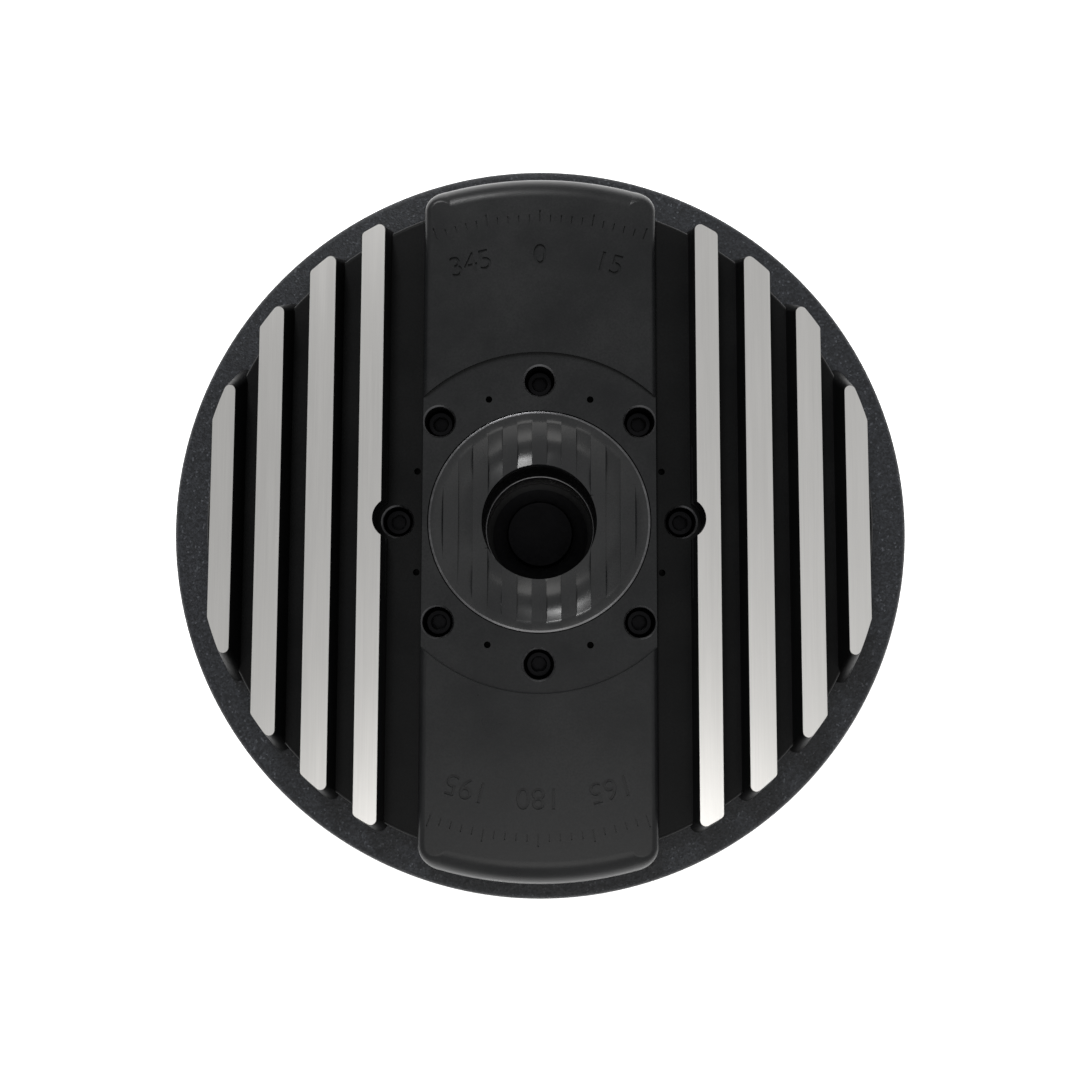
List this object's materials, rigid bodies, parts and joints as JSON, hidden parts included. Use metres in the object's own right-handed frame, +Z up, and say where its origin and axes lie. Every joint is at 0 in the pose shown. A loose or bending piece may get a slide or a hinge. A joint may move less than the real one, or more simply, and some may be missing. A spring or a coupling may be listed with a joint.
{
  "type": "alt azimuth mount",
  "caption": "Azimuth drive head of an alt azimuth telescope mount: a finned round turntable with a central bore over a fixed round base.",
  "frame": {"origin": "on the ground, in the middle between the three feet and on the azimuth axis", "axes": "+Z up along the azimuth axis; the fins and the bridge run along Y; the side panel faces -Y"},
  "size_m": [0.224, 0.224, 0.0745],
  "materials": {
    "textured_black": "fine crinkle powder coat",
    "satin_black": "smooth satin paint, the fins' tops machined bare",
    "gloss_black": "glossy",
    "steel": "ground",
    "black_oxide_steel": "black oxide",
    "aluminium": "machined",
    "brass": "machined",
    "rubber": "matt moulded",
    "black_plastic": "fine moulded grain",
    "circuit_board": "solder mask",
    "red_lens": "clear tinted"
  },
  "bodies": {
    "base": {"base_housing": "textured_black", "bottom_plate": "satin_black", "tripod_insert": "black_oxide_steel", "foot_1": "rubber", "foot_2": "rubber", "foot_3": "rubber", "foot_screw_1": "steel", "foot_screw_2": "steel", "foot_screw_3": "steel", "housing_screw_1": "steel", "housing_screw_2": "steel", "housing_screw_3": "steel", "housing_screw_4": "steel", "tower_screw_1": "steel", "tower_screw_2": "steel", "tower_screw_3": "steel", "bracket_screw_1": "steel", "bracket_screw_2": "steel", "bearing_tower": "aluminium", "bearing_outer_race": "steel", "lower_bush": "brass", "worm_bracket": "aluminium", "worm_bearing_1": "steel", "worm_bearing_2": "steel", "gearmotor": "black_oxide_steel", "motor_mount": "aluminium", "control_board": "circuit_board", "side_panel": "black_plastic", "power_socket": "black_plastic", "handset_socket": "black_plastic", "switch_body": "black_plastic", "status_lens": "red_lens", "panel_screw_1": "black_oxide_steel", "panel_screw_2": "black_oxide_steel"},
    "turntable": {"turntable_casting": "satin_black", "hub_ring": "satin_black", "bore_liner": "gloss_black", "cap_screw_1": "black_oxide_steel", "cap_screw_2": "black_oxide_steel", "cap_screw_3": "black_oxide_steel", "cap_screw_4": "black_oxide_steel", "cap_screw_5": "black_oxide_steel", "cap_screw_6": "black_oxide_steel", "cap_screw_7": "black_oxide_steel", "cap_screw_8": "black_oxide_steel", "spindle": "steel", "bearing_inner_race": "steel", "lock_nut": "black_oxide_steel", "worm_wheel": "brass", "wheel_screw_1": "steel", "wheel_screw_2": "steel", "wheel_screw_3": "steel", "wheel_screw_4": "steel"},
    "cage": {"ball_cage": "steel"},
    "worm_shaft": {"worm": "steel", "shaft_coupling": "aluminium", "motor_shaft": "steel"},
    "rocker": {"power_rocker": "black_plastic"}
  },
  "joints": [
    {"name": "azimuth", "type": "hinge", "parent": "base", "child": "turntable", "pos_m": [0, 0, 0.054], "axis": [0, 0, 1], "continuous": true},
    {"name": "cage_spin", "type": "hinge", "parent": "base", "child": "cage", "pos_m": [0, 0, 0.0365], "axis": [0, 0, 1], "continuous": true},
    {"name": "worm_spin", "type": "hinge", "parent": "base", "child": "worm_shaft", "pos_m": [0, 0.063, 0.0374], "axis": [1, 0, 0], "continuous": true},
    {"name": "power_rocker", "type": "hinge", "parent": "base", "child": "rocker", "pos_m": [0.0161, -0.1068, 0.034], "axis": [1, 0, 0], "range_deg": [0, 16]}
  ],
  "couplings": [
    {"joint": "cage_spin", "follows": "azimuth", "ratio": 0.4516},
    {"joint": "worm_spin", "follows": "azimuth", "ratio": 60}
  ]
}
